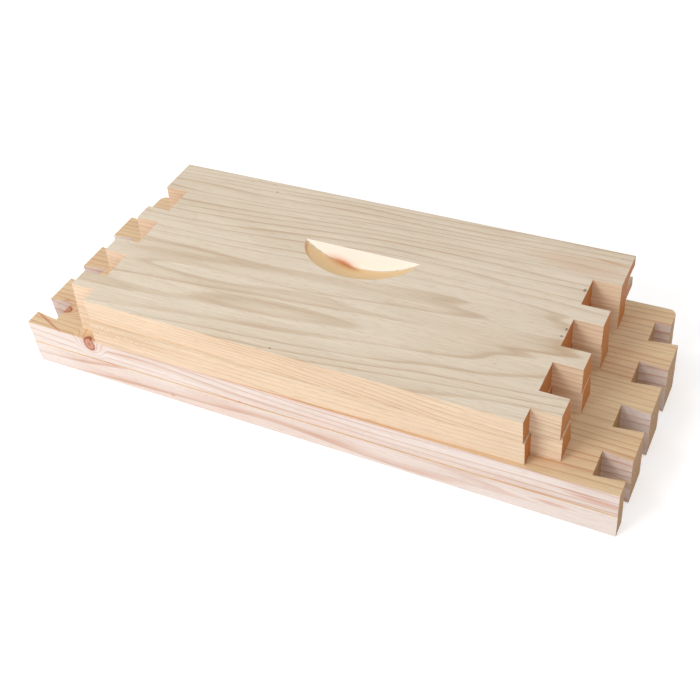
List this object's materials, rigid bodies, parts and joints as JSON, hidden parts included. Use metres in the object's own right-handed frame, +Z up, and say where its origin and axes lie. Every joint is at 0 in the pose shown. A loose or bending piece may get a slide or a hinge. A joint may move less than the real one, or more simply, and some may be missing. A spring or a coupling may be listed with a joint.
{
  "type": "flat-packed hive body",
  "caption": "Flat-packed wooden hive body: loose dovetailed boards with frame rests and handholds, stacked to be fitted together.",
  "frame": {"origin": "on the floor, under the middle of the stack", "axes": "+X along the boards, +Y towards the hive's top edge, +Z up through the stack"},
  "size_m": [0.5052, 0.196, 0.086],
  "materials": {
    "side_pine": "planed, bare",
    "end_pine": "planed, bare"
  },
  "bodies": {
    "lower_side": {"lower_side_board": "side_pine"},
    "upper_side": {"upper_side_board": "side_pine"},
    "lower_end": {"lower_end_board": "end_pine"},
    "upper_end": {"upper_end_board": "end_pine"}
  },
  "joints": [
    {"name": "upper_side_lift", "type": "slide", "parent": "lower_side", "child": "upper_side", "axis": [0, 0, 1], "range_m": [0, 0.1]},
    {"name": "lower_end_lift", "type": "slide", "parent": "upper_side", "child": "lower_end", "axis": [0, 0, 1], "range_m": [0, 0.1]},
    {"name": "upper_end_lift", "type": "slide", "parent": "lower_end", "child": "upper_end", "axis": [0, 0, 1], "range_m": [0, 0.1]}
  ]
}
